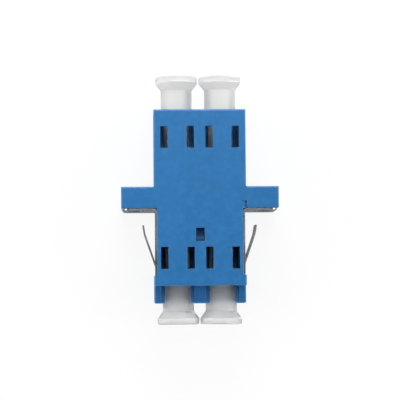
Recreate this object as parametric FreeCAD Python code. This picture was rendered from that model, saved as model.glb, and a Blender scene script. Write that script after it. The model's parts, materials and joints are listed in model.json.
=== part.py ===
import FreeCAD, Part
import math
import os

# Duplex fibre adapter with a flange, a folded spring clip and four dust caps.
# Millimetres. X runs across the two ports and Y along the light path; +Z is the latch-window side.
# The origin is on the resting face, below the plane where the two ferrules of a port meet.
# The plain end of the housing points along +Y, the stepped end with the insert along -Y.

V = FreeCAD.Vector
UPRIGHT = V(0, 0, 1)
ALONG = V(0, 1, 0)
OVER = 1.0                 # how far a cutting tool runs past what it cuts
LAP = 0.5                  # how far two forms of one moulding run into each other before they are fused
TINY = 1e-3                # distance under which two places count as one

# ---- driving dimensions -------------------------------------------------------------------------
# Ports, the same at both ends
PORT_PITCH = 6.25          # centre to centre of the two light paths
PORT_SIZE = 4.7            # square port for the plug's nose
PORT_LEAD_IN = 0.2         # chamfer round each port mouth
CHANNEL_HEIGHT = 1.65      # latch channel above the square port
KEYWAY_WIDTH = 3.6         # gap between the two lips at the mouth of the latch channel
LIP_DEPTH = 0.9            # how far the lips reach in along Y, at the plain end

# Housing
SIDE_WALL = 0.925          # from a port to the outside
TOP_WALL = 1.0
HOUSING_FLOOR = 1.0
HOUSING_HALF_LENGTH = 12.25    # from the mating plane to either end
BULKHEAD = 1.0             # each moulding's cross wall at the mating plane
EDGE_RADIUS = 0.28         # rims of the outside
CORNER_RADIUS = 0.12       # upright outside corners

# Flange
EAR_REACH = 4.55           # how far an ear stands out from the body
EAR_THICKNESS = 3.0
EAR_HOLE_REACH = 2.5       # from the body's side to the middle of the screw hole
EAR_HOLE_RADIUS = 1.1
EAR_ROOT_RADIUS = 0.18     # on the plain end's side; the clip's fold lies in the other
GATE_POCKET_WIDTH = 0.65   # shallow pocket in the right ear's root, where the moulding was gated
GATE_POCKET_LENGTH = 0.95
GATE_POCKET_DEPTH = 0.22   # at its outer side; it runs out to nothing at the other
GATE_POCKET_FROM = -1.42   # its end nearest the clip, from the mating plane
GATE_POCKET_OUT = 0.1      # how far it passes the body's side

# Latch windows and snap window in the top wall
WINDOW_WIDTH = 1.05
WINDOW_NEAR = 6.87         # from the mating plane
WINDOW_LENGTH = 3.06
SNAP_WINDOW_NEAR = 4.25
SNAP_WINDOW_LENGTH = 1.85

# Port insert
INSERT_FLOOR = 0.95        # floor under the insert's ports
INSERT_FIT = 0.05          # clearance between the insert and the cavity
HEAD_LENGTH = 2.45         # head of the insert, outside the housing
HEAD_LIP = 0.65            # how far the head rises above the square ports
HEAD_LIP_THIN = 0.15       # thickness of the head's lips where they end at the housing
FINGER_THICKNESS = 0.85
FINGER_SLOT = 0.9          # room below the snap finger, so that it can bend down
FINGER_GAP = 1.8           # room in front of the snap finger's tip
FINGER_ROOT_INSET = 0.85   # from the housing's end to the finger's root
HOOK_HEIGHT = 0.42
HOOK_WIDTH = 1.0
HOOK_CREST = 0.35          # flat top of the hook, along Y
HOOK_SIDE_PLAY = 0.1       # between the hook and either side of its window

# Sleeves and their holders
SLEEVE_BORE_RADIUS = 0.6245
SLEEVE_WALL = 0.1855
SLEEVE_LENGTH = 6.8
SLEEVE_SLIT = 0.2
SLEEVE_BREAK = 0.06        # broken outside edge
SLEEVE_PLAY = 0.09         # radial room round a sleeve
SLEEVE_END_PLAY = 0.05
HOLDER_WALL = 0.45
HOLDER_FLARE = 0.25        # cone at a holder's root
HOLDER_LIP = 0.4           # thickness of the end lip that traps the sleeve
FERRULE_PLAY = 0.0755      # radial room for the ferrule at the throat of the lip
FUNNEL_FLARE = 0.15        # how much wider the lip's funnel is at its mouth

# Folded clip
SHEET = 0.22
BEND_RADIUS = 0.2          # inside radius of a fold
CLIP_FIT = 0.02            # air between the sheet and the plastic
PLATE_SUNK = 0.16          # how far a side plate lies inside the body's side
STRAP_SUNK = 0.05          # how far the strap lies inside the resting face
PLATE_MARGIN = 0.35        # from a plate's edge to the body's top and bottom
PLATE_END = 10.65          # end of a side plate, from the mating plane
PLATE_END_GAP = 0.06       # from there to the end of the recess
STRAP_NEAR = 3.2           # strap across the resting face, from the mating plane
STRAP_FAR = 9.6
WING_MARGIN = 0.25         # from a wing's end to the ear's end
WING_CORNER = 0.9
WING_HOLE_PLAY = 0.1       # how much wider than the ear's hole the wing's hole is, in radius
TONGUE_WIDTH = 4.2
TONGUE_ROOT = 9.55         # fold at the tongue's root, from the mating plane
TONGUE_KNEE = 5.0
TONGUE_KNEE_OUT = 1.58     # how far the knee and the tip stand out from the side plate
TONGUE_TIP_OUT = 1.78
TONGUE_ROOT_RADIUS = 0.4
TONGUE_KNEE_RADIUS = 3.0
TONGUE_GAP = 0.2           # between a tongue and the hole it was cut from
PANEL_ROOM = 2.02          # from the wings to the tongues' tips, for the panel

# Dust caps
CAP_OUTSIDE = 2.95         # what stands out of the insert's mouth
CAP_STEM_FIT = 0.17        # radial room between the stem and the port
CAP_RIM_GAP = 0.39         # between the rims of neighbouring caps
CAP_RIM = 0.87
CAP_CONE = 1.0
CAP_EDGE_BREAK = 0.22      # rounding of the rim's outer end
CAP_WALL = 0.32            # wall of the plug, inside the port
CAP_SHOULDER = 0.7         # cone from the plug to the stem
CAP_END_WALL = 1.3
CAP_DISH_MARGIN = 0.83     # rim left round the dish in the end
CAP_DISH_DEPTH = 0.3
CAP_GRIP_PLAY = 0.07       # radial room between the cap's bore and the sleeve holder
CAP_LEAN = 0.5             # degrees by which three of the loose caps turn towards the centre line
CAP_MOUTH_BREAK = 0.13     # broken edges at the cap's inner end
CAP_SLIT = 0.4
CAP_SLIT_LENGTH = 6.0
FRONT_CAP_SEAT = 0.83      # from the bulkhead to the cap's inner end, at the plain end
REAR_CAP_SEAT = 1.25       # the same, at the insert's end

# ---- values that follow -------------------------------------------------------------------------
PORT_CENTRES = (-PORT_PITCH / 2, PORT_PITCH / 2)
PORT_HALF = PORT_SIZE / 2
WEB_HALF = PORT_PITCH / 2 - PORT_HALF
CAVITY_HALF = PORT_PITCH / 2 + PORT_HALF
HALF_WIDTH = CAVITY_HALF + SIDE_WALL
PORT_FLOOR = HOUSING_FLOOR + INSERT_FLOOR
AXIS_Z = PORT_FLOOR + PORT_HALF
PORT_TOP = AXIS_Z + PORT_HALF
CHANNEL_TOP = PORT_TOP + CHANNEL_HEIGHT
BODY_HEIGHT = CHANNEL_TOP + TOP_WALL
MIDDLE_Z = BODY_HEIGHT / 2

EAR_HALF = EAR_THICKNESS / 2
EAR_END = HALF_WIDTH + EAR_REACH
EAR_HOLE_X = HALF_WIDTH + EAR_HOLE_REACH
WINDOW_FAR = WINDOW_NEAR + WINDOW_LENGTH
SNAP_WINDOW_FAR = SNAP_WINDOW_NEAR + SNAP_WINDOW_LENGTH

WEB_TOP = CHANNEL_TOP - INSERT_FIT
HEAD_TOP = PORT_TOP + HEAD_LIP
HEAD_END = HOUSING_HALF_LENGTH + HEAD_LENGTH
FINGER_TIP = SNAP_WINDOW_NEAR + INSERT_FIT
FINGER_ROOT = HOUSING_HALF_LENGTH - FINGER_ROOT_INSET

SLEEVE_RADIUS = SLEEVE_BORE_RADIUS + SLEEVE_WALL
HOLDER_BORE = SLEEVE_RADIUS + SLEEVE_PLAY
HOLDER_RADIUS = HOLDER_BORE + HOLDER_WALL
HOLDER_POCKET = SLEEVE_LENGTH / 2 + SLEEVE_END_PLAY
HOLDER_END = HOLDER_POCKET + HOLDER_LIP
THROAT_RADIUS = SLEEVE_BORE_RADIUS + FERRULE_PLAY

RECESS_DEPTH = CLIP_FIT + SHEET + PLATE_SUNK
RECESS_HALF = HALF_WIDTH - RECESS_DEPTH
RECESS_END = PLATE_END + PLATE_END_GAP
RECESS_FLOOR = STRAP_SUNK + SHEET + CLIP_FIT
PLATE_MID = RECESS_HALF + CLIP_FIT + SHEET / 2
PLATE_TOP = BODY_HEIGHT - PLATE_MARGIN
WING_BACK = EAR_HALF + CLIP_FIT + SHEET
TONGUE_TIP = WING_BACK + PANEL_ROOM

CAP_LENGTH = HEAD_END + CAP_OUTSIDE - BULKHEAD - REAR_CAP_SEAT
CAP_STEM_RADIUS = PORT_HALF - CAP_STEM_FIT
CAP_RIM_RADIUS = (PORT_PITCH - CAP_RIM_GAP) / 2
CAP_BORE = HOLDER_RADIUS + CAP_GRIP_PLAY
CAP_PLUG_RADIUS = CAP_BORE + CAP_WALL
CAP_STEM_FROM = HOUSING_HALF_LENGTH - BULKHEAD - FRONT_CAP_SEAT
CAP_PIVOT = (BULKHEAD + FRONT_CAP_SEAT + HOLDER_END) / 2


def block(x, y, z):
    """Box between the two ends given for each axis, in any order."""
    low = V(min(x), min(y), min(z))
    size = V(max(x), max(y), max(z)) - low
    return Part.makeBox(size.x, size.y, size.z, low)


def flat(points):
    """Flat face with straight sides."""
    return Part.Face(Part.makePolygon(points + points[:1]))


def turned(profile, x=0, z=0):
    """Solid of revolution about a line along Y, from (radius, y) points."""
    face = flat([V(x + radius, y, z) for radius, y in profile])
    return face.revolve(V(x, 0, z), ALONG, 360)


def fused(shapes):
    """Union of a list of shapes, with the seams between coplanar faces removed."""
    return shapes[0].multiFuse(shapes[1:]).removeSplitter()


def straight_edges(shape, axis, wanted):
    """Straight edges along an axis whose middle satisfies the test."""
    found = []
    for edge in shape.Edges:
        if edge.Degenerated or not isinstance(edge.Curve, Part.Line):
            continue
        direction = edge.tangentAt(edge.FirstParameter)
        middle = edge.valueAt((edge.FirstParameter + edge.LastParameter) / 2)
        if direction.cross(axis).Length < TINY and wanted(middle):
            found.append(edge)
    return found


def upright_edges(shape, plan):
    """Upright straight edges that stand on the plan points given."""
    return straight_edges(shape, UPRIGHT, lambda p: any(
        math.hypot(p.x - q.x, p.y - q.y) < TINY for q in plan))


# ---- housing ------------------------------------------------------------------------------------
def housing_form():
    """Outside of the housing: the long body with the flange across it, corners and rims rounded."""
    right = [V(HALF_WIDTH, -HOUSING_HALF_LENGTH), V(HALF_WIDTH, -EAR_HALF), V(EAR_END, -EAR_HALF),
             V(EAR_END, EAR_HALF), V(HALF_WIDTH, EAR_HALF), V(HALF_WIDTH, HOUSING_HALF_LENGTH)]
    outline = right + [V(-p.x, p.y) for p in reversed(right)]
    corners = [p for p in outline if abs(p.x) > HALF_WIDTH or abs(p.y) > EAR_HALF]
    front_roots = [p for p in outline if p.y > 0 and p not in corners]
    form = flat(outline).extrude(V(0, 0, BODY_HEIGHT))
    form = form.makeFillet(EAR_ROOT_RADIUS, upright_edges(form, front_roots))
    form = form.makeFillet(CORNER_RADIUS, upright_edges(form, corners))
    rims = [edge for edge in form.Edges if edge.BoundBox.ZLength < TINY]
    return form.makeFillet(EDGE_RADIUS, rims)


def port_room(x, inner, mouth, roof, lip_depth):
    """Space of one port: square for the plug, latch channel above it and lips at the mouth."""
    way = math.copysign(1, mouth - inner)
    lip = mouth - way * lip_depth
    past = mouth + way * OVER
    wide = (x - PORT_HALF, x + PORT_HALF)
    nose = block(wide, (inner, past), (PORT_FLOOR, PORT_TOP))
    channel = block(wide, (inner, lip), (AXIS_Z, roof))
    keyway = block((x - KEYWAY_WIDTH / 2, x + KEYWAY_WIDTH / 2), (lip, past), (AXIS_Z, roof))
    return fused([nose, channel, keyway])


def mouth_chamfer(shape, y, roof):
    """Lead-in round the port mouths that lie in one end plane."""
    def in_mouth(point):
        """Whether a point lies on the rim of a port mouth."""
        return (abs(point.y - y) < TINY and abs(point.x) < CAVITY_HALF + TINY
                and PORT_FLOOR - TINY < point.z < roof + TINY)
    rim = [e for e in shape.Edges if all(in_mouth(v.Point) for v in e.Vertexes)]
    return shape.makeChamfer(PORT_LEAD_IN, rim)


def latch_windows():
    """The windows over both sides of each latch channel, at both ends."""
    through = (PORT_TOP, BODY_HEIGHT + OVER)
    tools = []
    for x in PORT_CENTRES:
        for side in (-1, 1):
            wall = x + side * PORT_HALF
            for end in (-1, 1):
                span = (end * WINDOW_NEAR, end * WINDOW_FAR)
                tools.append(block((wall, wall - side * WINDOW_WIDTH), span, through))
    return tools


def snap_window():
    """Window on the centre line that the insert's hook catches in."""
    half = HOOK_WIDTH / 2 + HOOK_SIDE_PLAY
    return block((-half, half), (-SNAP_WINDOW_NEAR, -SNAP_WINDOW_FAR), (PORT_TOP, BODY_HEIGHT + OVER))


def gate_pocket():
    """Shallow pocket in the right ear's root, on the top face."""
    outer = HALF_WIDTH + GATE_POCKET_OUT
    inner = outer - GATE_POCKET_WIDTH
    above = BODY_HEIGHT + OVER
    section = [V(inner, GATE_POCKET_FROM, BODY_HEIGHT), V(inner, GATE_POCKET_FROM, above),
               V(outer, GATE_POCKET_FROM, above),
               V(outer, GATE_POCKET_FROM, BODY_HEIGHT - GATE_POCKET_DEPTH)]
    return flat(section).extrude(V(0, GATE_POCKET_LENGTH, 0))


def side_recess(side):
    """Recess for a side plate of the clip; its far end slopes out from the plate's face."""
    past = HALF_WIDTH + OVER
    plan = [V(side * RECESS_HALF, -EAR_HALF, -OVER), V(side * past, -EAR_HALF, -OVER),
            V(side * past, -RECESS_END - PLATE_SUNK - OVER, -OVER),
            V(side * (HALF_WIDTH - PLATE_SUNK), -RECESS_END, -OVER),
            V(side * RECESS_HALF, -RECESS_END, -OVER)]
    return flat(plan).extrude(V(0, 0, BODY_HEIGHT + 2 * OVER))


def strap_recess():
    """Recess for the clip's strap across the resting face, with a sloping far end."""
    past = HALF_WIDTH + OVER
    flank = [V(-past, -EAR_HALF, RECESS_FLOOR), V(-past, -EAR_HALF, -OVER),
             V(-past, -RECESS_END - RECESS_FLOOR - OVER, -OVER), V(-past, -RECESS_END, RECESS_FLOOR)]
    return flat(flank).extrude(V(2 * past, 0, 0))


def soften_recess(body):
    """Round the long edges between the recesses, so that the clip's folds clear them."""
    def is_saddle(point):
        """Whether an edge's middle lies on a lower or upper edge of a side recess."""
        at_side = abs(abs(point.x) - RECESS_HALF) < TINY
        return at_side and (abs(point.z - RECESS_FLOOR) < TINY or point.z > PLATE_TOP)
    return body.makeFillet(BEND_RADIUS + CLIP_FIT, straight_edges(body, ALONG, is_saddle))


def half_holder(x, way):
    """Barrel on a bulkhead that holds one half of a sleeve; way is the end it points to."""
    root = HOLDER_RADIUS + HOLDER_FLARE
    return turned([(0, way * LAP), (root, way * LAP), (root, way * BULKHEAD),
                   (HOLDER_RADIUS, way * (BULKHEAD + HOLDER_FLARE)),
                   (HOLDER_RADIUS, way * HOLDER_END), (0, way * HOLDER_END)], x, AXIS_Z)


def sleeve_room(x, way):
    """Space inside a half holder: the sleeve's pocket and the funnel through the end lip."""
    mouth = THROAT_RADIUS + FUNNEL_FLARE
    return turned([(0, -way * OVER), (HOLDER_BORE, -way * OVER), (HOLDER_BORE, way * HOLDER_POCKET),
                   (THROAT_RADIUS, way * HOLDER_POCKET), (mouth, way * HOLDER_END),
                   (mouth, way * (HOLDER_END + OVER)), (0, way * (HOLDER_END + OVER))], x, AXIS_Z)


def ear_hole(side, radius):
    """Screw hole along Y through the flange or the clip's wing."""
    reach = EAR_THICKNESS + OVER
    return Part.makeCylinder(radius, 2 * reach, V(side * EAR_HOLE_X, -reach, MIDDLE_Z), ALONG)


def make_housing():
    """Moulded housing with the plain end's ports and the cavity for the insert."""
    rooms = [port_room(x, BULKHEAD, HOUSING_HALF_LENGTH, CHANNEL_TOP, LIP_DEPTH)
             for x in PORT_CENTRES]
    cavity = block((-CAVITY_HALF, CAVITY_HALF), (0, -HOUSING_HALF_LENGTH - OVER),
                   (HOUSING_FLOOR, CHANNEL_TOP))
    recesses = [side_recess(-1), side_recess(1), strap_recess()]
    body = housing_form().cut(rooms + [cavity] + recesses)
    body = mouth_chamfer(body, HOUSING_HALF_LENGTH, CHANNEL_TOP)
    body = soften_recess(body)
    body = fused([body] + [half_holder(x, 1) for x in PORT_CENTRES])
    holes = [sleeve_room(x, 1) for x in PORT_CENTRES]
    holes += [ear_hole(side, EAR_HOLE_RADIUS) for side in (-1, 1)]
    return body.cut(holes + latch_windows() + [snap_window(), gate_pocket()])


# ---- port insert --------------------------------------------------------------------------------
def lip_slope(x):
    """Wedge cut from the tops of one port's lips, so that they thin towards the housing."""
    low = PORT_TOP + HEAD_LIP_THIN
    inner = -HOUSING_HALF_LENGTH
    side = x - PORT_HALF
    wedge = [V(side, inner, low), V(side, inner, HEAD_TOP + OVER),
             V(side, -HEAD_END, HEAD_TOP + OVER), V(side, -HEAD_END, HEAD_TOP)]
    return flat(wedge).extrude(V(PORT_SIZE, 0, 0))


def insert_head():
    """Head of the insert, outside the housing, with softened edges at its free end."""
    head = block((-HALF_WIDTH, HALF_WIDTH), (-HEAD_END, -HOUSING_HALF_LENGTH), (0, HEAD_TOP))
    head = head.makeFillet(EDGE_RADIUS, [e for e in head.Edges if e.BoundBox.YMin < -HEAD_END + TINY
                                         or e.CenterOfMass.y < -HOUSING_HALF_LENGTH - TINY])
    inner = -HOUSING_HALF_LENGTH + LAP
    head = head.cut([port_room(x, inner, -HEAD_END, HEAD_TOP + OVER, HEAD_LENGTH)
                     for x in PORT_CENTRES])
    head = mouth_chamfer(head, -HEAD_END, HEAD_TOP - EDGE_RADIUS)
    return head.cut([lip_slope(x) for x in PORT_CENTRES])


def insert_web():
    """Wall between the ports, cut away below and in front of the snap finger."""
    web = block((-WEB_HALF, WEB_HALF), (-HOUSING_HALF_LENGTH - LAP, -LAP), (HOUSING_FLOOR, WEB_TOP))
    under = WEB_TOP - FINGER_THICKNESS
    wide = (-PORT_PITCH, PORT_PITCH)
    step = block(wide, (-HEAD_END, -HOUSING_HALF_LENGTH), (HEAD_TOP, BODY_HEIGHT))
    slot = block(wide, (-FINGER_ROOT, -FINGER_TIP), (under - FINGER_SLOT, under))
    gap = block(wide, (-FINGER_TIP, -FINGER_TIP + FINGER_GAP), (under - FINGER_SLOT, BODY_HEIGHT))
    slot_end = Part.makeCylinder(FINGER_SLOT / 2, 2 * PORT_PITCH,
                                 V(-PORT_PITCH, -FINGER_ROOT, under - FINGER_SLOT / 2), V(1, 0, 0))
    return web.cut([step, slot, gap, slot_end])


def snap_hook():
    """Ramped hook on top of the finger, which catches in the snap window."""
    catch = -SNAP_WINDOW_FAR + INSERT_FIT
    crest = WEB_TOP + HOOK_HEIGHT
    root = WEB_TOP - FINGER_THICKNESS / 2
    side = -HOOK_WIDTH / 2
    ramp = [V(side, catch, root), V(side, catch, crest), V(side, catch + HOOK_CREST, crest),
            V(side, -FINGER_TIP, WEB_TOP), V(side, -FINGER_TIP, root)]
    return flat(ramp).extrude(V(HOOK_WIDTH, 0, 0))


def make_insert():
    """Moulded insert with the stepped end's ports and the rear halves of the sleeve holders."""
    half = CAVITY_HALF - INSERT_FIT
    floor = block((-half, half), (-HOUSING_HALF_LENGTH - LAP, -INSERT_FIT), (HOUSING_FLOOR, PORT_FLOOR))
    bulkhead = block((-half, half), (-BULKHEAD, -INSERT_FIT), (HOUSING_FLOOR, WEB_TOP))
    holders = [half_holder(x, -1) for x in PORT_CENTRES]
    insert = fused([insert_head(), floor, bulkhead, insert_web(), snap_hook()] + holders)
    return insert.cut([sleeve_room(x, -1) for x in PORT_CENTRES])


# ---- split sleeves ------------------------------------------------------------------------------
def make_sleeve(x):
    """Ceramic sleeve with one slit along its top and broken outside edges."""
    half = SLEEVE_LENGTH / 2
    broken = SLEEVE_RADIUS - SLEEVE_BREAK
    tube = turned([(SLEEVE_BORE_RADIUS, -half), (broken, -half), (SLEEVE_RADIUS, -half + SLEEVE_BREAK),
                   (SLEEVE_RADIUS, half - SLEEVE_BREAK), (broken, half), (SLEEVE_BORE_RADIUS, half)],
                  x, AXIS_Z)
    slit = block((x - SLEEVE_SLIT / 2, x + SLEEVE_SLIT / 2), (-half - OVER, half + OVER),
                 (AXIS_Z, AXIS_Z + SLEEVE_RADIUS + OVER))
    return tube.cut(slit)


# ---- folded clip --------------------------------------------------------------------------------
def turn_left(vector):
    """The vector turned a quarter left in the drawing plane."""
    return V(-vector.y, vector.x, 0)


def fold_stations(before, point, after, radius):
    """One fold of a strip: its start, middle and end on either side, as {side: three points}.

    before and after are the unit directions of the middle line, and radius is the middle line's.
    """
    turn = math.atan2(before.cross(after).z, before.dot(after))
    left = math.copysign(1, turn)
    reach = radius * math.tan(abs(turn) / 2)
    start = point - before * reach
    end = point + after * reach
    centre = start + turn_left(before) * (left * radius)
    outward = (point - centre).normalize()
    sides = {}
    for way in (-1, 1):
        offset = way * SHEET / 2
        sides[way] = (start + turn_left(before) * offset, centre + outward * (radius - left * offset),
                      end + turn_left(after) * offset)
    return sides


def strip_face(points, radii):
    """Flat face of a bent strip, one sheet thick, whose middle line has a round fold at each point."""
    runs = [(there - here).normalize() for here, there in zip(points, points[1:])]
    folds = [fold_stations(before, point, after, radius + SHEET / 2) for before, point, after, radius
             in zip(runs, points[1:], runs[1:], radii)]
    sides = {}
    for way in (-1, 1):
        first = points[0] + turn_left(runs[0]) * (way * SHEET / 2)
        last = points[-1] + turn_left(runs[-1]) * (way * SHEET / 2)
        sides[way] = [(first,)] + [fold[way] for fold in folds] + [(last,)]
    back = [tuple(reversed(station)) for station in reversed(sides[-1])]
    return Part.Face(Part.Wire(chain(sides[1] + back + sides[1][:1])))


def chain(stations):
    """Lines between stations, and an arc at each station that has three points."""
    edges = []
    for here, there in zip(stations, stations[1:]):
        edges.append(Part.LineSegment(here[-1], there[0]).toShape())
        if len(there) == 3:
            edges.append(Part.Arc(*there).toShape())
    return edges


def plan_strip(points, radii, z):
    """Bent strip drawn in plan and raised between two heights."""
    face = strip_face([V(x, y, 0) for x, y in points], radii)
    face.translate(V(0, 0, min(z)))
    return face.extrude(V(0, 0, max(z) - min(z)))


def clip_channel():
    """Strap and side plates: a channel section run along Y, cut away on either side of the strap."""
    low = STRAP_SUNK + SHEET / 2
    section = strip_face([V(-PLATE_MID, PLATE_TOP, 0), V(-PLATE_MID, low, 0), V(PLATE_MID, low, 0),
                          V(PLATE_MID, PLATE_TOP, 0)], [BEND_RADIUS, BEND_RADIUS])
    section.rotate(V(0, 0, 0), V(1, 0, 0), 90)
    near = -WING_BACK - BEND_RADIUS
    section.translate(V(0, near, 0))
    channel = section.extrude(V(0, -PLATE_END - near, 0))
    low_half = (-OVER, STRAP_SUNK + SHEET + BEND_RADIUS)
    wide = (-HALF_WIDTH, HALF_WIDTH)
    notches = [block(wide, (near + OVER, -STRAP_NEAR), low_half),
               block(wide, (-STRAP_FAR, -PLATE_END - OVER), low_half)]
    return channel.cut(notches)


def clip_wing(side):
    """Side plate's end, fold and wing behind one ear, with its screw hole and rounded corners."""
    back = -WING_BACK + SHEET / 2
    span = EAR_END - WING_MARGIN
    path = [(side * PLATE_MID, -STRAP_NEAR), (side * PLATE_MID, back), (side * span, back)]
    wing = plan_strip(path, [BEND_RADIUS], (STRAP_SUNK + SHEET + BEND_RADIUS, PLATE_TOP))
    tip = straight_edges(wing, ALONG, lambda p: abs(abs(p.x) - span) < TINY)
    return wing.makeFillet(WING_CORNER, tip).cut(ear_hole(side, EAR_HOLE_RADIUS + WING_HOLE_PLAY))


def clip_tongue(side):
    """Panel tongue cut from a side plate and bent outwards."""
    out = [(PLATE_MID, TONGUE_ROOT + TONGUE_ROOT_RADIUS), (PLATE_MID, TONGUE_ROOT),
           (PLATE_MID + TONGUE_KNEE_OUT, TONGUE_KNEE), (PLATE_MID + TONGUE_TIP_OUT, TONGUE_TIP)]
    path = [(side * x, -y) for x, y in out]
    span = (MIDDLE_Z - TONGUE_WIDTH / 2, MIDDLE_Z + TONGUE_WIDTH / 2)
    return plan_strip(path, [TONGUE_ROOT_RADIUS, TONGUE_KNEE_RADIUS], span)


def tongue_window(side):
    """Hole in a side plate that its tongue was cut from."""
    half = TONGUE_WIDTH / 2 + TONGUE_GAP
    return block((side * RECESS_HALF, side * (HALF_WIDTH + OVER)),
                 (-TONGUE_ROOT, -TONGUE_TIP + TONGUE_GAP), (MIDDLE_Z - half, MIDDLE_Z + half))


def make_clip():
    """One folded sheet of spring steel round the body, behind the ears."""
    plates = fused([clip_channel(), clip_wing(-1), clip_wing(1)])
    plates = plates.cut([tongue_window(-1), tongue_window(1)])
    return fused([plates, clip_tongue(-1), clip_tongue(1)])


# ---- dust caps ----------------------------------------------------------------------------------
def cap_blank():
    """Outside of a cap with the dish in its end, from its inner end at the origin along +Y."""
    rim_from = CAP_LENGTH - CAP_RIM
    inner_break = CAP_PLUG_RADIUS - CAP_MOUTH_BREAK
    facet = CAP_EDGE_BREAK * (1 - math.sqrt(0.5))
    dish = CAP_RIM_RADIUS - CAP_DISH_MARGIN
    floor = CAP_LENGTH - CAP_DISH_DEPTH
    return turned([
        (0, 0), (inner_break, 0), (CAP_PLUG_RADIUS, CAP_MOUTH_BREAK),
        (CAP_PLUG_RADIUS, CAP_STEM_FROM - CAP_SHOULDER), (CAP_STEM_RADIUS, CAP_STEM_FROM),
        (CAP_STEM_RADIUS, rim_from - CAP_CONE), (CAP_RIM_RADIUS, rim_from),
        (CAP_RIM_RADIUS, CAP_LENGTH - CAP_EDGE_BREAK), (CAP_RIM_RADIUS - facet, CAP_LENGTH - facet),
        (CAP_RIM_RADIUS - CAP_EDGE_BREAK, CAP_LENGTH), (dish, CAP_LENGTH),
        (dish - CAP_DISH_DEPTH, floor), (0, floor)])


def make_cap(x, way, seat, lean):
    """Dust cap in one port: hollow plug with four slits, stem, cone and rim."""
    mouth = CAP_BORE + CAP_MOUTH_BREAK
    bottom = CAP_LENGTH - CAP_END_WALL
    hollow = turned([(0, -OVER), (mouth, -OVER), (mouth, 0), (CAP_BORE, CAP_MOUTH_BREAK),
                     (CAP_BORE, bottom), (0, bottom)])
    narrow = (-CAP_SLIT / 2, CAP_SLIT / 2)
    wide = (-PORT_HALF, PORT_HALF)
    slits = [block(narrow, (-OVER, CAP_SLIT_LENGTH), wide), block(wide, (-OVER, CAP_SLIT_LENGTH), narrow)]
    cap = cap_blank().cut([hollow] + slits)
    if way < 0:
        cap.rotate(V(0, 0, 0), UPRIGHT, 180)
    cap.translate(V(x, way * (BULKHEAD + seat), AXIS_Z))
    cap.rotate(V(x, way * CAP_PIVOT, AXIS_Z), UPRIGHT, lean)
    return cap


# ---- write the pieces ---------------------------------------------------------------------------
def main():
    """Make every piece and write one file for each."""
    left, right = PORT_CENTRES
    pieces = {
        "housing": make_housing(),
        "port_insert": make_insert(),
        "split_sleeve_left": make_sleeve(left),
        "split_sleeve_right": make_sleeve(right),
        "mounting_clip": make_clip(),
        "dust_cap_left_front": make_cap(left, 1, FRONT_CAP_SEAT, 0),
        "dust_cap_right_front": make_cap(right, 1, FRONT_CAP_SEAT, CAP_LEAN),
        "dust_cap_left_rear": make_cap(left, -1, REAR_CAP_SEAT, CAP_LEAN),
        "dust_cap_right_rear": make_cap(right, -1, REAR_CAP_SEAT, -CAP_LEAN),
    }
    os.makedirs("parts", exist_ok=True)
    for name, shape in pieces.items():
        if len(shape.Solids) != 1:
            raise ValueError("%s came out as %d solids" % (name, len(shape.Solids)))
        shape.Solids[0].exportStep("parts/%s.step" % name)


main()
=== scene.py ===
import json
import logging
import math
from dataclasses import dataclass
from enum import Enum

import bmesh
import bpy
from mathutils import Matrix, Vector


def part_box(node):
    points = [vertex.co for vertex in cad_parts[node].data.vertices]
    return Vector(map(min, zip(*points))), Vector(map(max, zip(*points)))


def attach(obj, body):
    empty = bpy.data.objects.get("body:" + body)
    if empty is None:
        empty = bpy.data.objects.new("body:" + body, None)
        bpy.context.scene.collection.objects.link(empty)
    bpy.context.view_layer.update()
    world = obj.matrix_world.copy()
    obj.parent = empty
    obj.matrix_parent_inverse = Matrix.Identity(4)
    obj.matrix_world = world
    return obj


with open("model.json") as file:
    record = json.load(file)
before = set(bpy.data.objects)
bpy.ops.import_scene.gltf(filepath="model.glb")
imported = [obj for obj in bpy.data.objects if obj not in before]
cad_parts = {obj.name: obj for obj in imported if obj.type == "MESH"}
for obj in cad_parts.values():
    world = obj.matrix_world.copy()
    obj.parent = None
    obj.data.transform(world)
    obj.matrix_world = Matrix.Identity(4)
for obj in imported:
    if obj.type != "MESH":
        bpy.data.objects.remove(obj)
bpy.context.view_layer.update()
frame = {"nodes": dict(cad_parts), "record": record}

MM = 0.001
LOG = logging.getLogger("adapter")
RGB = tuple[float, float, float]

BEVEL_SAMPLES = 6
SOFT_EDGE = 0.05        # radius of the broken edges of moulded pieces, in millimetres
SHARP_EDGE = 0.03       # the same for steel and ceramic
PLASTIC_IOR = 1.5
ZIRCONIA_IOR = 2.1
WHITE = (1.0, 1.0, 1.0, 1.0)
MIX_AMOUNT, MIX_FIRST, MIX_SECOND = 0, 6, 7     # inputs of the mix node in its colour form
MIX_RESULT = 2


class Side(Enum):
    """The two ports of the adapter, across its width."""

    LEFT = "left"
    RIGHT = "right"


class End(Enum):
    """The two ends of the adapter, along its light paths."""

    FRONT = "front"
    REAR = "rear"


def srgb(red: int, green: int, blue: int) -> RGB:
    """Turns a colour written as 0 to 255 steps into the linear values a shader takes.

    Args:
        red: Red step.
        green: Green step.
        blue: Blue step.

    Returns:
        The three linear values.
    """
    def linear(step: int) -> float:
        """Returns one linear value."""
        part = step / 255
        return part / 12.92 if part <= 0.04045 else ((part + 0.055) / 1.055) ** 2.4

    return linear(red), linear(green), linear(blue)


def toned(colour: RGB, gain: float, lift: float = 0.0) -> RGB:
    """Makes a colour lighter or darker.

    Args:
        colour: Linear colour.
        gain: What each channel is multiplied by.
        lift: What is then added to it.

    Returns:
        The changed colour.
    """
    red, green, blue = (part * gain + lift for part in colour)
    return red, green, blue


def linked(name: str, data: bpy.types.ID) -> bpy.types.Object:
    """Makes an object and puts it into the scene.

    Args:
        name: Name of the object.
        data: Its mesh, light or camera.

    Returns:
        The new object.
    """
    made = bpy.data.objects.new(name, data)
    bpy.context.scene.collection.objects.link(made)
    return made


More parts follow.
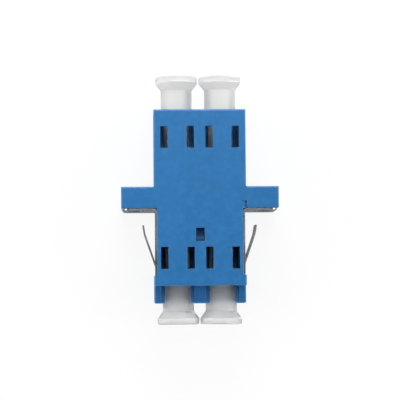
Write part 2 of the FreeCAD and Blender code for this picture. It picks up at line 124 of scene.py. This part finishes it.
class ShaderTree:
    """One material's node tree, with the node patterns that the finishes share."""

    def __init__(self, name: str) -> None:
        """Makes the material.

        Args:
            name: Name of the material.
        """
        self.material = bpy.data.materials.new(name)
        self.material.use_nodes = True
        self.nodes = self.material.node_tree.nodes
        self.links = self.material.node_tree.links
        self.shader = self.nodes["Principled BSDF"]
        self.place = self.add("ShaderNodeTexCoord").outputs["Object"]

    def add(self, kind: str, inputs: dict[str | int, object] | None = None,
            **settings: object) -> bpy.types.Node:
        """Adds a node.

        Args:
            kind: Blender's name of the node type.
            inputs: Value or source socket of each named or numbered input.
            settings: Attributes of the node.

        Returns:
            The new node.
        """
        node = self.nodes.new(kind)
        for attribute, value in settings.items():
            setattr(node, attribute, value)
        for key, value in (inputs or {}).items():
            self.feed(node.inputs[key], value)
        return node

    def feed(self, socket: bpy.types.NodeSocket, value: object) -> None:
        """Links a source socket to an input, or sets the input's value."""
        if isinstance(value, bpy.types.NodeSocket):
            self.links.new(value, socket)
        else:
            socket.default_value = value

    def set(self, **values: object) -> None:
        """Feeds the shader's own inputs, whose names are written with underscores."""
        for key, value in values.items():
            self.feed(self.shader.inputs[key.replace("_", " ")], value)

    def noise(self, size: float, detail: float = 2.0,
              stretch: tuple[float, float, float] = (1, 1, 1)) -> bpy.types.NodeSocket:
        """Adds a noise pattern.

        Args:
            size: Size of its largest blots, in millimetres.
            detail: Number of finer layers.
            stretch: How much longer the blots are along each axis.

        Returns:
            The pattern's strength socket, from 0 to 1 about 0.5.
        """
        scale = tuple(1 / (part * size * MM) for part in stretch)
        spread = self.add("ShaderNodeVectorMath", {0: self.place, 1: scale},
                          operation="MULTIPLY").outputs[0]
        return self.add("ShaderNodeTexNoise", {"Vector": spread, "Scale": 1.0,
                                               "Detail": detail}).outputs["Fac"]

    def remap(self, value: bpy.types.NodeSocket, low: float, high: float,
              start: float = 0.0, end: float = 1.0) -> bpy.types.NodeSocket:
        """Maps a range of a pattern, smoothly and clamped, onto another range.

        Args:
            value: The pattern.
            low: Pattern value that gives start.
            high: Pattern value that gives end.
            start: Result at low.
            end: Result at high.

        Returns:
            The result's socket.
        """
        return self.add("ShaderNodeMapRange",
                        {"Value": value, "From Min": low, "From Max": high,
                         "To Min": start, "To Max": end},
                        interpolation_type="SMOOTHSTEP").outputs["Result"]

    def mix(self, amount: object, first: object, second: object) -> bpy.types.NodeSocket:
        """Mixes two colours.

        Args:
            amount: Share of the second colour.
            first: Colour, or its socket.
            second: Colour, or its socket.

        Returns:
            The mixed colour's socket.
        """
        node = self.add("ShaderNodeMix", data_type="RGBA")
        self.feed(node.inputs[MIX_AMOUNT], amount)
        for index, colour in ((MIX_FIRST, first), (MIX_SECOND, second)):
            full = isinstance(colour, bpy.types.NodeSocket)
            self.feed(node.inputs[index], colour if full else (*colour, 1.0))
        return node.outputs[MIX_RESULT]

    def edges(self, radius: float, blunt: float = 0.8) -> bpy.types.NodeSocket:
        """Finds edges and corners.

        Args:
            radius: How far from an edge it still counts, in millimetres.
            blunt: Cosine of the turn that counts in full; nearer 1 finds blunter edges.

        Returns:
            A socket that is 0 on flats and rises to 1 on edges.
        """
        rounded = self.add("ShaderNodeBevel", {"Radius": radius * MM},
                           samples=BEVEL_SAMPLES)
        facing = self.add("ShaderNodeNewGeometry").outputs["Normal"]
        same = self.add("ShaderNodeVectorMath", {0: rounded.outputs[0], 1: facing},
                        operation="DOT_PRODUCT").outputs["Value"]
        return self.remap(same, 1.0, blunt)

    def relief(self, layers: list[tuple[bpy.types.NodeSocket, float]],
               soften: float) -> bpy.types.NodeSocket:
        """Stacks bumps on softly broken edges.

        Args:
            layers: Pattern and height in millimetres of each bump.
            soften: Radius of the broken edges, in millimetres.

        Returns:
            The surface direction's socket.
        """
        facing = self.add("ShaderNodeBevel", {"Radius": soften * MM},
                          samples=BEVEL_SAMPLES).outputs[0]
        for pattern, height in layers:
            facing = self.add("ShaderNodeBump", {"Height": pattern, "Normal": facing,
                                                 "Strength": 1.0,
                                                 "Distance": height * MM}).outputs[0]
        return facing


@dataclass(frozen=True)
class MouldedPlastic:
    """Opaque injection-moulded plastic with a fine eroded grain and paler edges, partly worn
    and partly a painted highlight.
    """

    name: str
    colour: RGB
    # colour of the paler edges: wear and a painted highlight of the rounded rims
    worn_and_highlit: RGB
    roughness: float = 0.36
    gloss: float = 0.3          # level of the mirror-like share
    grain: float = 0.09         # size and height of the patterns, in millimetres
    grain_height: float = 0.006
    smear: float = 0.8
    flow: float = 6.0
    flow_height: float = 0.01
    edge: float = 0.12          # width of the paler edges, worn and with a painted highlight, in millimetres
    deep: float = 0.94          # brightness of the blots, the specks and the haze
    pale: float = 1.05
    speck: float = 0.78
    haze: float = 1.2

    def material(self) -> bpy.types.Material:
        """Returns the finish as a material."""
        tree = ShaderTree(self.name)
        flow = tree.noise(self.flow, 3, (1, 2.2, 1))
        grain = tree.noise(self.grain, 2)
        smear = tree.noise(self.smear, 4)
        base = tree.mix(tree.remap(flow, 0.3, 0.7), toned(self.colour, self.deep),
                        toned(self.colour, self.pale, 0.001))
        base = tree.mix(tree.remap(grain, 0.55, 0.75, 0.0, 0.5), base,
                        toned(self.colour, self.speck))
        base = tree.mix(tree.remap(smear, 0.4, 0.65, 0.0, 0.4), base,
                        toned(self.colour, self.haze, 0.004))
        # paler edges: partly wear, partly a painted highlight on the rounded rims
        wear_and_highlight = tree.add("ShaderNodeMath", {0: tree.edges(self.edge),
                                           1: tree.remap(smear, 0.35, 0.7, 0.15, 0.6)},
                        operation="MULTIPLY").outputs[0]
        tree.set(Base_Color=tree.mix(wear_and_highlight, base, self.worn_and_highlit),
                 Roughness=tree.remap(smear, 0.25, 0.75, self.roughness - 0.02,
                                      self.roughness + 0.03),
                 IOR=PLASTIC_IOR,
                 Specular_IOR_Level=self.gloss,
                 Normal=tree.relief([(grain, self.grain_height), (flow, self.flow_height)],
                                    SOFT_EDGE))
        return tree.material


@dataclass(frozen=True)
class MilkyPlastic:
    """Soft, natural-coloured plastic that lets light in, with painted shade along its creases.
    """

    name: str
    colour: RGB
    depth: float = 1.2          # how far light spreads inside, in millimetres
    clear: float = 0.82         # share of the light that passes straight on
    spread: RGB = (1.0, 0.97, 0.94)
    roughness: float = 0.5
    grain_height: float = 0.001
    shade: float = 0.99         # brightness of the clouds
    crease: float = 0.12        # width of the painted shade along the creases, in millimetres, and its brightness
    crease_painted_shade: float = 0.75

    def material(self) -> bpy.types.Material:
        """Returns the finish as a material."""
        tree = ShaderTree(self.name)
        cloud = tree.noise(2.2, 3)
        grain = tree.noise(0.12, 2)
        rubs = tree.noise(0.35, 4, (1, 9, 1))
        base = tree.mix(tree.remap(cloud, 0.3, 0.7), toned(self.colour, self.shade),
                        self.colour)
        # painted shade along the creases and edges
        base = tree.mix(tree.edges(self.crease, 0.98), base,
                        toned(self.colour, self.crease_painted_shade))
        tree.set(Base_Color=base,
                 Roughness=tree.remap(rubs, 0.3, 0.7, self.roughness - 0.06,
                                      self.roughness + 0.1),
                 IOR=PLASTIC_IOR,
                 Subsurface_Weight=1.0,
                 Subsurface_Radius=self.spread,
                 Subsurface_Scale=self.depth * MM,
                 Transmission_Weight=self.clear,
                 Normal=tree.relief([(grain, self.grain_height)], SOFT_EDGE))
        return tree.material


@dataclass(frozen=True)
class RolledSteel:
    """Bright spring steel with rolling lines and stamped edges, with painted dark reflection
    on the edges and at glancing angles.
    """

    name: str
    colour: RGB
    dull: RGB
    roughness: float = 0.27
    brushed: float = 0.4        # how much the rolling lines stretch a highlight
    glancing_painted_dark: RGB = (0.08, 0.12, 0.2)     # tint of what is seen at a glancing angle, dark as a painted dark reflection
    edge: float = 0.13          # width of the stamped edges and their painted dark reflection, in millimetres
    edge_painted_dark: float = 0.25    # and the brightness of that painted dark reflection
    line_height: float = 0.0012     # heights of the patterns, in millimetres
    stain_height: float = 0.0015

    def material(self) -> bpy.types.Material:
        """Returns the finish as a material."""
        tree = ShaderTree(self.name)
        lines = tree.noise(0.05, 3, (1, 40, 1))
        stain = tree.noise(1.6, 4)
        base = tree.mix(tree.remap(stain, 0.4, 0.75), self.colour, self.dull)
        # stamped edges darkened: a painted dark reflection of the dim ceiling
        base = tree.mix(tree.edges(self.edge), base, toned(self.dull, self.edge_painted_dark))
        tree.set(Base_Color=base,
                 Metallic=1.0,
                 Roughness=tree.remap(lines, 0.3, 0.7, self.roughness - 0.07,
                                      self.roughness + 0.1),
                 Anisotropic=self.brushed,
                 # glancing reflections darkened: a painted dark reflection
                 Specular_Tint=(*self.glancing_painted_dark, 1.0),
                 Normal=tree.relief([(lines, self.line_height),
                                     (stain, self.stain_height)], SHARP_EDGE))
        return tree.material


@dataclass(frozen=True)
class GroundCeramic:
    """Zirconia ground round its axis, smooth and slightly translucent."""

    name: str
    colour: RGB
    roughness: float = 0.16
    shade: float = 0.94         # brightness of the clouds
    depth: float = 0.3          # how far light spreads inside, in millimetres
    spread: RGB = (1.0, 0.9, 0.75)
    ring_height: float = 0.0008     # height of the grinding rings, in millimetres

    def material(self) -> bpy.types.Material:
        """Returns the finish as a material."""
        tree = ShaderTree(self.name)
        rings = tree.noise(0.05, 2, (30, 1, 30))
        cloud = tree.noise(0.9, 2)
        tree.set(Base_Color=tree.mix(cloud, toned(self.colour, self.shade), self.colour),
                 Roughness=tree.remap(rings, 0.3, 0.7, self.roughness,
                                      self.roughness + 0.08),
                 IOR=ZIRCONIA_IOR,
                 Subsurface_Weight=0.3,
                 Subsurface_Radius=self.spread,
                 Subsurface_Scale=self.depth * MM,
                 Normal=tree.relief([(rings, self.ring_height)], SHARP_EDGE))
        return tree.material


@dataclass(frozen=True)
class Paper:
    """White sweep that the adapter lies on. Cameras and mirrors see it white."""

    name: str
    colour: RGB = (0.86, 0.86, 0.86)
    glow: float = 0.87          # share of plain white in what cameras and mirrors see
    tooth: float = 0.985        # brightness of the paper's tooth

    def material(self) -> bpy.types.Material:
        """Returns the finish as a material."""
        tree = ShaderTree(self.name)
        tooth = tree.noise(0.4, 3)
        tree.set(Base_Color=tree.mix(tooth, toned(self.colour, self.tooth), self.colour),
                 Roughness=0.9,
                 Specular_IOR_Level=0.0)
        path = tree.add("ShaderNodeLightPath").outputs
        seen = path["Is Camera Ray"]
        for ray in ("Is Glossy Ray", "Is Transmission Ray"):
            seen = tree.add("ShaderNodeMath", {0: seen, 1: path[ray]},
                            operation="MAXIMUM").outputs[0]
        white = tree.add("ShaderNodeEmission", {"Color": WHITE, "Strength": 1.0})
        share = tree.add("ShaderNodeMath", {0: seen, 1: self.glow}, operation="MULTIPLY")
        blend = tree.add("ShaderNodeMixShader", {0: share.outputs[0],
                                                 1: tree.shader.outputs[0],
                                                 2: white.outputs[0]})
        tree.links.new(blend.outputs[0], tree.nodes["Material Output"].inputs["Surface"])
        return tree.material


class Finish(Enum):
    """The finishes of the adapter's own pieces."""

    # the second colour is the paler edges: wear and a painted highlight
    BLUE = MouldedPlastic("moulded_blue", srgb(35, 101, 155), srgb(126, 166, 206))
    CAP = MilkyPlastic("milky_cap", (0.99, 0.985, 0.965))
    # parting bead: real flash, coloured darker and opaque as a painted shadow line where the
    # cone meets the rim
    FLASH = MilkyPlastic("milky_flash_and_shade", (0.86, 0.855, 0.84), depth=0.3, clear=0.0)
    STEEL = RolledSteel("rolled_steel", (0.46, 0.465, 0.47), (0.36, 0.365, 0.37))
    CERAMIC = GroundCeramic("ground_ceramic", (0.88, 0.86, 0.8))


class Dresser:
    """Makes each finish once and puts it on nodes and pieces."""

    def __init__(self) -> None:
        """Starts with no finish made."""
        self.made: dict[Finish, bpy.types.Material] = {}

    def material(self, finish: Finish) -> bpy.types.Material:
        """Returns a finish's material, made at its first use."""
        if finish not in self.made:
            self.made[finish] = finish.value.material()
        return self.made[finish]

    def dress(self, node: str, finish: Finish) -> bpy.types.Object:
        """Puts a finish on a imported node.

        Args:
            node: Name of the node.
            finish: Its finish.

        Returns:
            The node's object.
        """
        solid = frame["nodes"][node]
        for holder in solid.material_slots:
            holder.material = self.material(finish)
        return solid

    def piece(self, name: str, mesh: bmesh.types.BMesh, finish: Finish, body: str,
              slot: str) -> bpy.types.Object:
        """Makes an object of a mesh, dresses it and lets it ride on a body.

        Args:
            name: Name of the piece.
            mesh: Its mesh, which is freed.
            finish: Its finish.
            body: Body that it rides on.
            slot: Material slot of the record that it belongs to; not used.

        Returns:
            The new object.
        """
        bmesh.ops.recalc_face_normals(mesh, faces=mesh.faces)
        data = bpy.data.meshes.new(name)
        mesh.to_mesh(data)
        mesh.free()
        data.materials.append(self.material(finish))
        made = linked(name, data)
        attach(made, body)
        return made


@dataclass
class Housing:
    """The moulded housing with its port insert."""

    dresser: Dresser

    def build(self) -> None:
        """Dresses the housing and the insert."""
        for node in ("housing", "port_insert"):
            self.dresser.dress(node, Finish.BLUE)
        LOG.info("housing and insert dressed")


@dataclass
class Clip:
    """The folded spring-steel clip."""

    dresser: Dresser

    def build(self) -> None:
        """Dresses the clip."""
        self.dresser.dress("mounting_clip", Finish.STEEL)
        LOG.info("clip dressed")


@dataclass
class Sleeves:
    """The two split ceramic sleeves."""

    dresser: Dresser

    def build(self) -> None:
        """Dresses both sleeves."""
        for side in Side:
            self.dresser.dress(f"split_sleeve_{side.value}", Finish.CERAMIC)
        LOG.info("sleeves dressed")


@dataclass
class Caps:
    """The four dust caps, each with a parting bead and the stub of its gate."""

    dresser: Dresser
    pivot: float = 2.84 * MM        # from the middle of the bore to where a cap is held
    rim: float = 0.87 * MM          # height and radius of a cap's rim
    rim_radius: float = 2.93 * MM
    bead: float = 0.06 * MM         # radius of the bead's section, and how far it stands out
    bead_out: float = 0.015 * MM
    bead_steps: int = 10            # corners of the bead's section
    dish: float = 0.3 * MM          # depth of the dish in a cap's outer end
    stub_radius: float = 0.42 * MM
    stub_height: float = 0.14 * MM
    stub_sunk: float = 0.05 * MM    # how far the stub starts below the dish
    stub_foot: float = 0.02 * MM    # height of its flared foot
    stub_break: float = 0.03 * MM   # height of its broken upper edge
    steps: int = 72                 # corners of a turned piece

    def axis(self, side: Side, end: End) -> tuple[Vector, Vector]:
        """Finds the line of one cap, which may stand at a small angle to its port.

        Args:
            side: The cap's port.
            end: The cap's end of the adapter.

        Returns:
            The middle of the cap's outer end, and the direction out of the port.
        """
        bore = next(mount for mount in frame["record"]["mounts"]
                    if mount["name"] == f"{side.value}_ferrule_bore")
        low, high = (Vector(corner)
                     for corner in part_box(f"dust_cap_{side.value}_{end.value}"))
        way = 1 if (low + high).y > 0 else -1
        held = Vector(bore["pos_m"]) + Vector((0, way * self.pivot, 0))
        outer = high.y if way > 0 else low.y
        rim = Vector(((low.x + high.x) / 2, outer - way * self.rim / 2, held.z))
        out = (rim - held).normalized()
        return rim + out * self.rim / 2, out

    def turned(self, outline: list[tuple[float, float]], closed: bool, middle: Vector,
               out: Vector) -> bmesh.types.BMesh:
        """Turns an outline about a cap's line.

        Args:
            outline: Distance from the line, and height along it from the outer end.
            closed: Whether the outline's last point joins its first.
            middle: Middle of the cap's outer end.
            out: Direction out of the port.

        Returns:
            The mesh, which the caller frees.
        """
        mesh = bmesh.new()
        across = out.cross(Vector((0, 0, 1))).normalized()
        upward = across.cross(out)
        rings = []
        for radius, height in outline:
            ring = []
            for step in range(self.steps):
                angle = 2 * math.pi * step / self.steps
                arm = across * math.cos(angle) + upward * math.sin(angle)
                ring.append(mesh.verts.new(middle + out * height + arm * radius))
            rings.append(ring)
        pairs = list(zip(rings, rings[1:]))
        if closed:
            pairs.append((rings[-1], rings[0]))
        else:
            mesh.faces.new(rings[-1])
            mesh.faces.new(reversed(rings[0]))
        for first, second in pairs:
            for step in range(self.steps):
                after = (step + 1) % self.steps
                face = mesh.faces.new((first[step], first[after], second[after],
                                       second[step]))
                face.smooth = True
        return mesh

    def bead_outline(self) -> list[tuple[float, float]]:
        """Returns the round section of the bead where the cone meets the rim."""
        centre = self.rim_radius + self.bead_out - self.bead
        turns = [2 * math.pi * step / self.bead_steps for step in range(self.bead_steps)]
        return [(centre + self.bead * math.cos(turn), -self.rim + self.bead * math.sin(turn))
                for turn in turns]

    def stub_outline(self) -> list[tuple[float, float]]:
        """Returns the side of the gate's stub, sunk a little into the dish."""
        top = self.stub_height - self.dish
        return [(self.stub_radius * 1.15, -self.dish - self.stub_sunk),
                (self.stub_radius * 1.1, -self.dish + self.stub_foot),
                (self.stub_radius, top - self.stub_break),
                (self.stub_radius * 0.92, top)]

    def build(self) -> None:
        """Dresses the four caps and gives each its bead and stub."""
        for side in Side:
            for end in End:
                place = f"{side.value}_{end.value}"
                self.dresser.dress(f"dust_cap_{place}", Finish.CAP)
                middle, out = self.axis(side, end)
                for name, outline, closed, finish in (
                        # the bead's darker finish is a painted shadow line along the crease
                        ("bead", self.bead_outline(), True, Finish.FLASH),
                        ("stub", self.stub_outline(), False, Finish.CAP)):
                    self.dresser.piece(f"cap_{name}_{place}",
                                       self.turned(outline, closed, middle, out),
                                       finish, f"{place}_cap", "cap_plastic")
        LOG.info("caps dressed, with beads and gate stubs")


@dataclass(frozen=True)
class SoftBox:
    """One rectangular lamp that faces the adapter, in metres and watts."""

    name: str
    bearing: float
    elevation: float
    distance: float
    width: float
    height: float
    power: float

    def hang(self) -> None:
        """Hangs the lamp; its bearing is in degrees from +Y towards +X."""
        around, above = math.radians(self.bearing), math.radians(self.elevation)
        place = Vector((math.sin(around) * math.cos(above),
                        math.cos(around) * math.cos(above), math.sin(above))) * self.distance
        light = bpy.data.lights.new(self.name, "AREA")
        light.shape = "RECTANGLE"
        light.size, light.size_y, light.energy = self.width, self.height, self.power
        hung = linked(self.name, light)
        hung.location = place
        hung.rotation_mode = "QUATERNION"
        hung.rotation_quaternion = (-place).to_track_quat("-Z", "Y")
        hung.visible_camera = False


@dataclass
class Studio:
    """Floor, world and soft boxes."""

    floor_size: float = 3.0         # half of its width, in metres
    walls: float = 1.0              # brightness of the walls and the ceiling
    ceiling: float = 0.1
    walls_up_to: float = 0.3        # sines of the elevations where they start to blend
    ceiling_from: float = 0.75
    boxes: tuple[SoftBox, ...] = (
        SoftBox("left_box", -90, 24, 0.8, 0.95, 0.4, 4.2),
        SoftBox("right_box", 90, 24, 0.8, 0.95, 0.4, 4.4),
        SoftBox("front_box", 180, 22, 0.8, 0.8, 0.35, 1.6),
        SoftBox("end_box", 0, 25, 0.2, 0.13, 0.13, 0.45),
        SoftBox("top_box", 10, 76, 0.2, 0.05, 0.05, 0.025),
    )

    def floor(self) -> None:
        """Lays the white sweep on which the adapter rests."""
        sheet = bmesh.new()
        bmesh.ops.create_grid(sheet, x_segments=2, y_segments=2, size=self.floor_size)
        data = bpy.data.meshes.new("floor")
        sheet.to_mesh(data)
        sheet.free()
        data.materials.append(Paper("white_sweep").material())
        laid = linked("floor", data)

    def world(self) -> None:
        """Surrounds the scene with pale walls under a dark ceiling."""
        world = bpy.data.worlds.new("studio")
        bpy.context.scene.world = world
        world.use_nodes = True
        nodes, links = world.node_tree.nodes, world.node_tree.links
        place = nodes.new("ShaderNodeTexCoord").outputs["Generated"]
        height = nodes.new("ShaderNodeSeparateXYZ")
        links.new(place, height.inputs[0])
        level = nodes.new("ShaderNodeMapRange")
        level.interpolation_type = "SMOOTHSTEP"
        for key, value in (("From Min", self.walls_up_to), ("From Max", self.ceiling_from),
                           ("To Min", self.walls), ("To Max", self.ceiling)):
            level.inputs[key].default_value = value
        links.new(height.outputs["Z"], level.inputs["Value"])
        sky = nodes["Background"]
        sky.inputs["Color"].default_value = WHITE
        links.new(level.outputs["Result"], sky.inputs["Strength"])

    def build(self) -> None:
        """Sets up the floor, the world and the soft boxes."""
        self.floor()
        self.world()
        for box in self.boxes:
            box.hang()
        LOG.info("studio set up with %d soft boxes", len(self.boxes))


@dataclass
class Camera:
    """The view of the latch-window face, a little off upright."""

    target: tuple[float, float, float] = (0.132, -0.144, 4.65)      # in millimetres
    distance: float = 254.07        # in millimetres
    azimuth: float = -30.06         # in degrees, as are the next two
    elevation: float = 86.26
    roll: float = 0.444
    lens: float = 162.03            # in millimetres, as is the sensor
    sensor: float = 36.0
    clip: tuple[float, float] = (0.01, 20.0)        # in metres

    def build(self) -> None:
        """Places the scene's camera."""
        around, above = math.radians(self.azimuth), math.radians(self.elevation)
        back = Vector((math.sin(around) * math.cos(above),
                       -math.cos(around) * math.cos(above), math.sin(above)))
        turn = math.radians(self.roll)
        across = (-back).cross(Vector((math.sin(turn), math.cos(turn), 0))).normalized()
        upward = back.cross(across)
        lens = bpy.data.cameras.new("camera")
        lens.lens, lens.sensor_width = self.lens, self.sensor
        lens.clip_start, lens.clip_end = self.clip
        camera = linked("camera", lens)
        turned = Matrix((across, upward, back)).transposed().to_4x4()
        place = Vector(self.target) * MM + back * (self.distance * MM)
        camera.matrix_world = Matrix.Translation(place) @ turned
        bpy.context.scene.camera = camera
        LOG.info("camera placed")


def main() -> None:
    """Builds every sub-assembly, the studio and the camera."""
    logging.basicConfig(level=logging.INFO, format="%(name)s: %(message)s")
    bpy.context.scene.view_settings.view_transform = "Standard"
    dresser = Dresser()
    for part in (Camera(), Housing(dresser), Clip(dresser), Sleeves(dresser),
                 Caps(dresser), Studio()):
        part.build()


if __name__ == "__main__":
    main()
